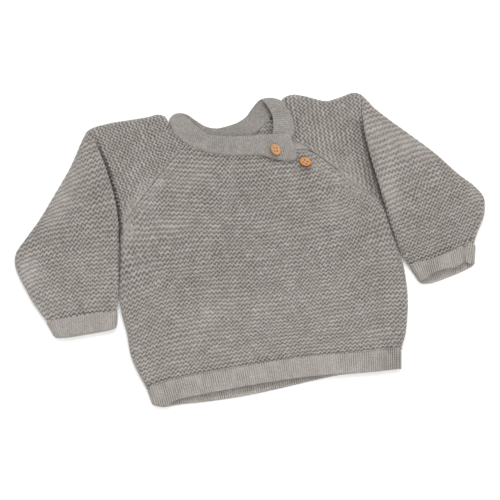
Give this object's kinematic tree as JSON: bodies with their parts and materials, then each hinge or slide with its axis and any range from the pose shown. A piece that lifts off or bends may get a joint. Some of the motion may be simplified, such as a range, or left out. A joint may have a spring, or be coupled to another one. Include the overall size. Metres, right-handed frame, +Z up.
{
  "type": "baby's knitted raglan sweater, laid flat",
  "caption": "Baby's garter-stitch raglan sweater laid flat on its back, with rib neckband, hem and cuffs and a buttoned neck opening at one raglan seam.",
  "frame": {"origin": "on the surface that the sweater lies on, under the middle of its back, 140 mm above the level of the hem", "axes": "+X to the right as it lies face up, +Y from the hem towards the neck, +Z up out of the surface"},
  "size_m": [0.4381, 0.2956, 0.0133],
  "materials": {
    "garter_stitch": "soft melange grey-brown cotton yarn in garter stitch, matt, with raised ridges across the cloth",
    "fine_rib": "the same yarn in a fine, close one-by-one rib, matt",
    "button_wood": "light orange-brown turned wood, satin, sewn on with pale thread"
  },
  "bodies": {
    "root": {"front_panel": "garter_stitch", "back_panel": "garter_stitch", "left_sleeve": "garter_stitch", "right_sleeve": "garter_stitch", "neckband": "fine_rib", "front_hem": "fine_rib", "back_hem": "fine_rib", "left_cuff": "fine_rib", "right_cuff": "fine_rib", "placket": "fine_rib", "button_1": "button_wood", "button_2": "button_wood"}
  },
  "joints": []
}
